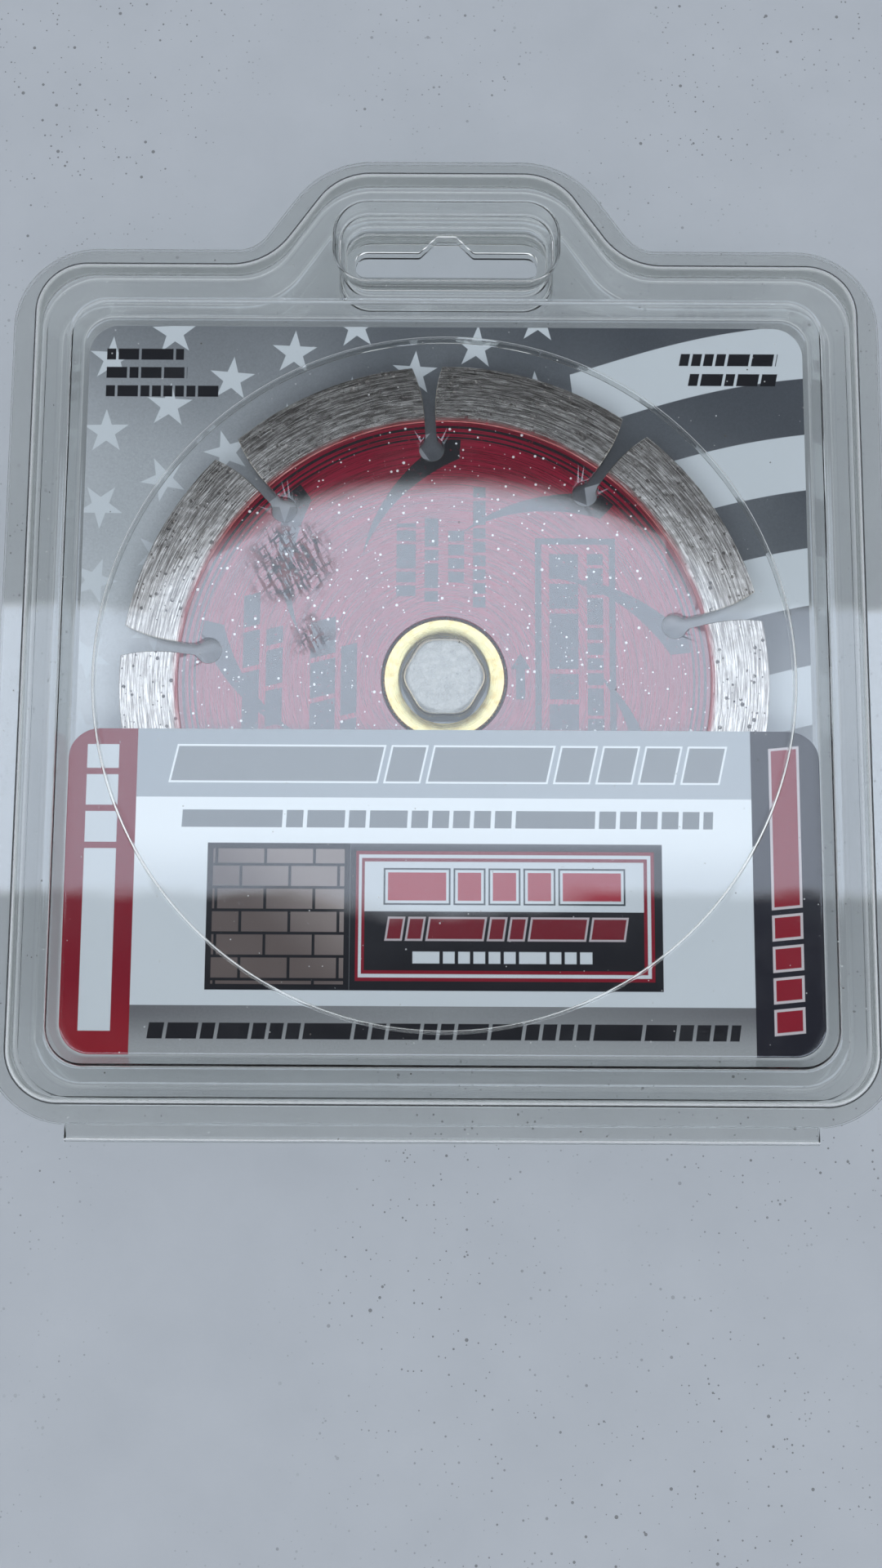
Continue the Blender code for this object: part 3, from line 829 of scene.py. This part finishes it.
def core_paint():
    """Deep red paint over circular grinding marks, with black print, scratches and grinding dust."""
    g = coating_graph("core_paint")
    streaks = g.noise(1.0, 4.0, 0.6, vector=around(g, 5.0, 3.0))
    fine = g.noise(1.0, 2.0, 0.5, vector=around(g, 16.0, 9.0))
    red = g.mix(g.ramp(streaks, 0.36, 0.64), (0.13, 0.001, 0.012), (0.28, 0.004, 0.030))
    wear = g.ramp(g.noise(1.3, 5.0, 0.7, seed=4.0), 0.66, 0.60)
    ink = blade_art(g) * wear
    colour = g.mix(ink, red, BLACK_INK)

    reach = distance_to(g, -27.5, 21.0) & distance_to(g, -23.5, 7.0) + 4.5
    patch = g.ramp(g.noise(0.35, 3.0, seed=2.0) * 7.0 + reach, 13.0, 8.5)
    lean_x, lean_y = g.turn(g.x, g.y, math.radians(-62))
    gouges = g.noise(1.0, 4.0, 0.65, vector=g.vector(lean_x * 0.18, lean_y * 1.3))
    crossed_x, crossed_y = g.turn(g.x, g.y, math.radians(38))
    crossed = g.noise(1.0, 3.0, 0.6, vector=g.vector(crossed_x * 0.22, crossed_y * 1.6))
    gouged = patch * (g.ramp(gouges, 0.47, 0.52) | g.ramp(crossed, 0.54, 0.59))
    rubbed = g.ramp(g.noise(0.6, 2.0, seed=9.0), 0.4, 0.6)
    bared = g.mix(rubbed, (0.010, 0.006, 0.007), (0.12, 0.015, 0.012))
    bright = g.ramp(g.noise(0.9, 3.0, seed=14.0), 0.60, 0.70)
    bared = g.mix(bright, bared, (0.30, 0.31, 0.32))
    colour = g.mix(gouged, colour, bared)
    edge_fade = g.ramp(g.radius + (streaks - 0.5) * 2.0, 46.1, 47.6) * 0.75
    colour = g.mix(edge_fade, colour, (0.10, 0.065, 0.06))
    dust = g.specks(1.3, 0.27, 0.5, seed=31.0) | g.specks(0.9, 0.14, 0.3, seed=57.0)
    colour = g.mix(dust * 0.9, colour, (0.86, 0.86, 0.88))
    depth = streaks * 0.0005 + fine * 0.0001 - gouged * 0.01 + ink * 0.002
    shader = g.principled(
        Base_Color=colour,
        Metallic=g.ramp(dust | gouged, 0.0, 1.0, 0.12, 0.0),
        Roughness=g.ramp(fine, 0.3, 0.7, 0.24, 0.36),
        Specular_IOR_Level=0.15,
        Coat_Weight=g.ramp(fine, 0.36, 0.66, 0.8, 1.0) * (1.0 - gouged * 0.9),
        Coat_IOR=2.43,
        Coat_Roughness=0.05,
        Normal=g.bump(depth),
    )
    return g.finish(shader)


def distance_to(g, centre_x, centre_y):
    across, along = g.x - centre_x, g.y - centre_y
    return g.math("SQRT", across * across + along * along)


def sintered_metal():
    """Ground sintered metal: tangential streaks, dark pits where grit was pulled out, and sparse grit."""
    g = coating_graph("sintered_metal")
    streaks = g.noise(1.0, 5.0, 0.68, vector=around(g, 4.5, 9.0))
    fine = g.noise(1.0, 3.0, 0.6, vector=around(g, 14.0, 26.0))
    mottle = g.noise(0.5, 4.0, 0.65, seed=6.0)
    colour = g.mix(g.ramp(streaks, 0.36, 0.66), (0.23, 0.205, 0.185), (0.87, 0.815, 0.75))
    colour = g.mix(g.ramp(mottle, 0.45, 0.75) * 0.35, colour, (0.28, 0.24, 0.20))
    pits = g.specks(1.3, 0.40, 0.55, seed=3.0) | g.specks(0.8, 0.20, 0.4, seed=8.0)
    pits = pits * g.ramp(g.noise(1.6, 4.0, 0.7, seed=19.0), 0.38, 0.50)
    colour = g.mix(pits * 0.85, colour, (0.035, 0.032, 0.035))
    paint = g.ramp(g.radius + (streaks - 0.5) * 1.6, 48.1, 46.9)
    colour = g.mix(paint * 0.85, colour, (0.26, 0.012, 0.022))
    depth = streaks * 0.0012 + fine * 0.0003 - pits * 0.02
    shader = g.principled(
        Base_Color=colour,
        Metallic=1.0 - pits * 0.6 - paint * 0.4,
        Roughness=g.ramp(fine, 0.3, 0.7, 0.14, 0.24),
        Normal=g.bump(depth),
    )
    return g.finish(shader)


def bush_brass():
    """Bright pale brass, faced on a lathe, with dark dirt in the knurl."""
    g = coating_graph("bush_brass")
    turned_marks = g.noise(1.0, 3.0, 0.6, vector=around(g, 18.0, 3.0))
    tarnish = g.noise(0.7, 4.0, 0.6, seed=2.0)
    colour = g.mix(g.ramp(tarnish, 0.42, 0.75), (0.93, 0.80, 0.42), (0.80, 0.60, 0.24))
    dirt = g.ramp(g.radius + (tarnish - 0.5) * 0.35, 10.62, 10.78) * 0.6
    colour = g.mix(dirt, colour, (0.10, 0.07, 0.025))
    shader = g.principled(
        Base_Color=colour,
        Metallic=1.0,
        Roughness=g.ramp(turned_marks, 0.3, 0.7, 0.20, 0.32) + dirt * 0.2,
        Normal=g.bump(turned_marks * 0.003 + g.noise(3.5, 3.0) * 0.001),
    )
    return g.finish(shader)


# Pieces.


def shell_frame(surface, flange, crown, sunk, hang_floor):
    """What both shells have: flange, raised frame, sunk window and hang pan. Returns the window's foot."""
    body = rounded_path(
        [
            (FLANGE_WIDTH, flange),
            (0, flange),
            (-WALL_DRAFT, crown),
            (-WALL_DRAFT - CROWN_LAND, crown),
        ],
        (FLANGE_RADIUS, CROWN_RADIUS),
    )
    crown_inside = surface.stack(bell, body)[1]
    mouth = rounded_path(
        [(WINDOW_DRAFT + MOUTH_LAND, crown), (WINDOW_DRAFT, crown), (0, sunk), (-WINDOW_LAND, sunk)],
        (MOUTH_RADIUS, WINDOW_RADIUS),
    )
    window_mouth, window_foot = surface.stack(window, mouth)
    pan_mouth, pan_floor = surface.stack(pan, pan_profile(hang_floor, crown))
    surface.flat(crown_inside, window_mouth, pan_mouth)
    surface.flat(pan_floor, surface.ring(hang_slot(), hang_floor))
    return window_foot


def cup(surface, window_foot, outline, foot, top, draft, land, radii):
    """A raised cup in the window: the dome over the blade, or the hub that the bush sits on."""
    points = [(CUP_FLARE, foot), (0, foot), (-draft, top), (-draft - land, top)]
    cup_foot, cup_top = surface.stack(outline, rounded_path(points, radii))
    surface.flat(window_foot, cup_foot)
    surface.flat(cup_top)


def front_shell(coating):
    surface = Surface()
    foot = shell_frame(surface, FRONT_FLANGE_TOP, CROWN_TOP, FRONT_WINDOW, HANG_FLOOR)

    def dome(outset):
        return circle(DOME_RADIUS + outset, 240)

    cup(surface, foot, dome, FRONT_WINDOW, DOME_TOP, DOME_DRAFT, DOME_LAND, (0.3, 0.4))
    return surface.finish("front_shell_sheet", coating, SHEET)


def rear_shell(coating):
    surface = Surface(upside_down=True)
    foot = shell_frame(surface, REAR_FLANGE_BOTTOM, 0, REAR_WINDOW, 2 * FOLD_Z - HANG_FLOOR)

    def lobed(outset):
        return hub(HUB_RADIUS + outset)

    cup(surface, foot, lobed, REAR_WINDOW, HUB_TOP - SHEET, HUB_DRAFT, HUB_LAND, (0.5, 0.7))
    return surface.finish("rear_shell_sheet", coating, SHEET)


def pan_profile(floor, crown):
    """The hang pan's wall, with a small step half way down."""
    step = crown + (floor - crown) * 0.52
    ledge = 0.12 if floor < crown else -0.12
    points = [
        (0.9, crown),
        (0, crown),
        (-0.42, step + ledge),
        (-0.85, step - ledge),
        (-PAN_DRAFT, floor),
        (-PAN_DRAFT - 0.75, floor),
    ]
    return rounded_path(points, (0.75, 0.25, 0.25, 0.45), 4)


def folded_web(coating):
    """The living hinge: one strip of sheet folded over between the two flanges."""
    radius = (FOLD_HIGH.z - FOLD_LOW.z) / 2 - SHEET / 2
    root = FLANGE_BOTTOM + 0.15
    rear = FOLD_Z - (FRONT_FLANGE_TOP - SHEET / 2 - FOLD_Z)
    front = FRONT_FLANGE_TOP - SHEET / 2
    turn = arc(FOLD_Y, FOLD_Z, radius, -QUARTER, -3 * QUARTER, 20)
    centre = [(root, rear), (root - 0.7, rear)] + turn + [(root - 0.7, front), (root, front)]
    outer = offset_line(centre, -SHEET * WEB_HALF_SHARE)
    inner = offset_line(centre, SHEET * WEB_HALF_SHARE)
    section = outer + inner[::-1]
    mesh = bmesh.new()
    stations = 49
    half_length = FOLD_HIGH.x
    loops = []
    for i in range(stations):
        x = half_length * (2 * i / (stations - 1) - 1)
        ripple = 0.05 * noise.noise(Vector((x * 0.12, 0, 4.7)))
        loops.append([mesh.verts.new((x * MM, (y + AXIS_Y + ripple) * MM, z * MM)) for y, z in section])
    for left, right in zip(loops, loops[1:]):
        for k in range(len(section)):
            n = (k + 1) % len(section)
            mesh.faces.new((left[k], right[k], right[n], left[n]))
    mesh.faces.new(loops[0])
    mesh.faces.new(loops[-1][::-1])
    bmesh.ops.triangulate(mesh, faces=[f for f in mesh.faces if len(f.verts) > 4])
    bmesh.ops.recalc_face_normals(mesh, faces=mesh.faces)
    data = bpy.data.meshes.new("folded_web")
    mesh.to_mesh(data)
    mesh.free()
    obj = bpy.data.objects.new("folded_web", data)
    bpy.context.scene.collection.objects.link(obj)
    data.materials.append(coating)
    data.shade_smooth()
    data.set_sharp_from_angle(angle=math.radians(50))
    return obj


def offset_line(points, distance):
    """An open line moved sideways by distance."""
    line = [Vector(p) for p in points]
    moved = []
    for i, here in enumerate(line):
        direction = (line[min(i + 1, len(line) - 1)] - line[max(i - 1, 0)]).normalized()
        moved.append(tuple(here + Vector((-direction.y, direction.x)) * distance))
    return moved


def slot_half_width(radius):
    """Half the gap between two segments: narrow at the core, flared towards the rim."""
    share = max(0.0, (radius - CORE_RADIUS) / SEGMENT_HEIGHT)
    return SLOT_HALF_WIDTH + SLOT_FLARE * share**SLOT_FLARE_POWER


def segment_point(middle, across, out, narrowing):
    """A point of a segment. across runs from -1 to 1 along it, out from 0 at its root to 1 at the rim."""
    radius = CORE_RADIUS + narrowing + (SEGMENT_HEIGHT - 2 * narrowing) * out
    half_angle = math.pi / SEGMENT_COUNT - math.asin((slot_half_width(radius) + narrowing) / radius)
    angle = middle + across * half_angle
    ragged = noise.noise(Vector((angle * 90, 3.1, 0))) + 0.6 * noise.noise(Vector((angle * 260, 8.4, 0)))
    radius -= 0.11 * abs(ragged) * out**6
    return radius * math.cos(angle), radius * math.sin(angle)


def segment(index, coating):
    """One cutting segment, ground flat, with softened edges and a slightly ragged rim."""
    middle = FIRST_SLOT_ANGLE + (index + 0.5) * PITCH
    low, high = SEGMENT_LOW.z, SEGMENT_HIGH.z
    edge = SEGMENT_EDGE
    columns, rows = 120, 20
    surface = Surface()
    border = [(2 * i / columns - 1, 0.0) for i in range(columns)]
    border += [(1.0, j / rows) for j in range(rows)]
    border += [(1 - 2 * i / columns, 1.0) for i in range(columns)]
    border += [(-1.0, 1 - j / rows) for j in range(rows)]

    def grid(height, sign):
        points = {}
        for i in range(columns + 1):
            for j in range(rows + 1):
                x, y = segment_point(middle, 2 * i / columns - 1, j / rows, edge)
                relief = 0.02 * noise.noise(Vector((x * 0.9, y * 0.9, height)))
                points[i, j] = surface.ring([(x, y)], height - sign * abs(relief))[0]
        return points

    def faces(points, flipped):
        for i in range(columns):
            for j in range(rows):
                quad = (points[i, j], points[i, j + 1], points[i + 1, j + 1], points[i + 1, j])
                surface.mesh.faces.new(quad[::-1] if flipped else quad)

    def rim(points):
        ring = [points[i, 0] for i in range(columns)] + [points[columns, j] for j in range(rows)]
        ring += [points[columns - i, rows] for i in range(columns)]
        return ring + [points[0, rows - j] for j in range(rows)]

    upper, lower = grid(high, 1), grid(low, -1)
    faces(upper, True)
    faces(lower, False)
    outline = [segment_point(middle, across, out, 0.0) for across, out in border]
    sides = [surface.ring(outline, low + edge), surface.ring(outline, high - edge)]
    rings = [rim(lower), *sides, rim(upper)]
    for first, second in zip(rings, rings[1:]):
        surface.wall(first, second)
    bmesh.ops.recalc_face_normals(surface.mesh, faces=surface.mesh.faces)
    return surface.finish(f"segment_{index + 1}_ground", coating, sharp=38.0)


def bush(coating):
    """The knurled reducing bush, chamfered at its bore and at the tips of its teeth."""
    low, high = BUSH_LOW.z, BUSH_HIGH.z
    steps = KNURL_TEETH * 6
    tip, root = BUSH_TIP_RADIUS, BUSH_TIP_RADIUS - KNURL_DEPTH
    bore = BUSH_BORE_RADIUS

    def ring_points(radius, toothed):
        points = []
        for i in range(steps):
            angle = 2 * math.pi * i / steps
            share = abs(((i / 6) % 1) * 2 - 1) if toothed else 1.0
            tooth = root + (tip - root) * share if toothed else radius
            reach = min(radius, tooth) if toothed else radius
            points.append((reach * math.cos(angle), reach * math.sin(angle)))
        return points

    surface = Surface()
    levels = [
        (bore, low + BUSH_CHAMFER, False),
        (bore + BUSH_CHAMFER, low, False),
        (root - 0.1, low, False),
        (root, low + 0.12, True),
        (tip, low + BUSH_CHAMFER, True),
        (tip, high - BUSH_CHAMFER, True),
        (root, high - 0.12, True),
        (root - 0.1, high, False),
        (bore + BUSH_CHAMFER, high, False),
        (bore + 0.1, high - 0.08, False),
        (bore, high - 0.25, False),
    ]
    rings = [surface.ring(ring_points(radius, toothed), height) for radius, height, toothed in levels]
    for first, second in zip(rings, rings[1:] + rings[:1]):
        surface.wall(first, second)
    bmesh.ops.recalc_face_normals(surface.mesh, faces=surface.mesh.faces)
    return surface.finish("arbor_bush_ring", coating, sharp=30.0)


def core(coating):
    hole = circle(BORE_RADIUS, 180)
    return plate("blade_core_plate", core_outline(), [hole], CORE_LOW.z, CORE_HIGH.z, CORE_EDGE, coating)


def rear_card(coating):
    outline = rounded_rectangle(CARD_HALF_WIDTH, CARD_BOTTOM, CARD_TOP, CARD_CORNER)
    hole = circle(CARD_HOLE_RADIUS, 96)
    low, high = REAR_CARD_LOW.z, REAR_CARD_HIGH.z
    return plate("rear_card_sheet", outline, [hole], low, high, CARD_EDGE, coating)


def front_card(coating):
    outline = rounded_rectangle(CARD_HALF_WIDTH, CARD_BOTTOM, FRONT_CARD_TOP, CARD_CORNER)
    low, high = FRONT_CARD_LOW.z, FRONT_CARD_HIGH.z
    return plate("front_card_sheet", outline, [], low, high, CARD_EDGE, coating)


def add(obj, node, body):
    """Puts a finished piece in a CAD node's place."""
    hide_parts(node)
    if body:
        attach(obj, body)


def build_pieces():
    plastic = clear_plastic()
    add(rear_shell(plastic), "rear_shell", "tray")
    add(front_shell(plastic), "front_shell", "lid")
    web = folded_web(plastic)
    add(web, "hinge_strip", None)
    reach = FRONT_FLANGE_TOP - FOLD_Z - SHEET * (0.51 + WEB_HALF_SHARE)
    place = (0, (AXIS_Y + FOLD_Y) * MM)
    (FOLD_Z - reach) * MM
    (FOLD_Z + reach) * MM
    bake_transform(web)
    add(rear_card(rear_print()), "rear_card", "tray")
    add(front_card(front_print()), "front_card", "lid")
    add(core(core_paint()), "blade_core", "blade")
    metal = sintered_metal()
    for i in range(SEGMENT_COUNT):
        add(segment(i, metal), f"segment_{i + 1}", "blade")
    add(bush(bush_brass()), "arbor_bush", "bush")


# Stage, light and camera.

CAMERA_HEIGHT = 185.9
CAMERA_Y = -34.8
CAMERA_X = -0.4
CAMERA_TILT = math.radians(5.2)
CAMERA_ROLL = math.radians(0.3)
LENS = 23.6

DAYLIGHT = (0.94, 0.99, 1.05)
SOFTBOX_LIGHT = (0.76, 0.86, 1.03)
SOFTBOX_LEVEL = 2.0
CEILING_LEVEL = 0.04
FLOOR_HALF_SIZE = 20000
FLOOR_DROP = 0.05  # keeps the floor clear of the sheet that rests on it


def floor_material():
    g = coating_graph("pale_floor")
    mottle = g.noise(0.05, 4.0, 0.6)
    colour = g.mix(mottle, (0.385, 0.402, 0.425), (0.455, 0.472, 0.495))
    patches = g.ramp(g.noise(0.02, 3.0, seed=12.0), 0.4, 0.6)
    grit = g.specks(2.4, 0.34, 0.6, seed=40.0) | g.specks(1.1, 0.20, 0.6, seed=61.0)
    colour = g.mix(grit * patches * 0.75, colour, (0.10, 0.10, 0.10))
    depth = g.noise(1.5, 4.0) * 0.02
    return g.finish(g.principled(Base_Color=colour, Roughness=0.55, Normal=g.bump(depth)))


def build_stage():
    mesh = bmesh.new()
    bmesh.ops.create_grid(mesh, x_segments=1, y_segments=1, size=FLOOR_HALF_SIZE * MM)
    data = bpy.data.meshes.new("floor")
    mesh.to_mesh(data)
    mesh.free()
    data.materials.append(floor_material())
    floor = bpy.data.objects.new("floor", data)
    floor.location.z = -FLOOR_DROP * MM
    bpy.context.scene.collection.objects.link(floor)


def build_light():
    """A bright pale horizon under a dark ceiling, which holds an oval softbox in a long band of light."""
    g = Graph(bpy.data.worlds.new("studio"))
    x, y, z = g.parts(g.node("TexCoord", output="Generated"))
    height = z | 0.05
    across = x / height / 0.332
    along = (y / height - 0.179) / 0.218
    oval = g.math("SQRT", across * across + along * along)
    band = abs(x / height) / 0.62 | abs(y / height - 0.126) / 0.144
    softbox = g.ramp(oval & band, 1.04, 0.92, 0.0, SOFTBOX_LEVEL)
    horizon = g.ramp(y, 0.7, -0.6, 1.2, 2.7) * g.ramp(z, 0.25, 0.55, 0.35, 1.0)
    sky = horizon * g.ramp(z, 0.80, 0.60) + CEILING_LEVEL
    colour = g.mix(softbox / SOFTBOX_LEVEL, DAYLIGHT, SOFTBOX_LIGHT)
    light = g.node("Background", {0: colour, 1: sky + softbox})
    backdrop = g.node("Background", {0: (0.60, 0.63, 0.68), 1: 1.0})
    seen = g.node("LightPath", output="Is Camera Ray")
    bpy.context.scene.world = g.finish(g.node("MixShader", {0: seen, 1: light, 2: backdrop}), "World")


def build_camera():
    data = bpy.data.cameras.new("camera")
    data.lens = LENS
    data.sensor_width = 36.0
    data.clip_start = 0.005
    camera = bpy.data.objects.new("camera", data)
    camera.location = (CAMERA_X * MM, (AXIS_Y + CAMERA_Y) * MM, CAMERA_HEIGHT * MM)
    camera.rotation_euler = (CAMERA_TILT, 0, CAMERA_ROLL)
    bpy.context.scene.collection.objects.link(camera)
    bpy.context.scene.camera = camera
    bpy.context.scene.view_settings.view_transform = "Standard"


build_pieces()
build_stage()
build_light()
build_camera()
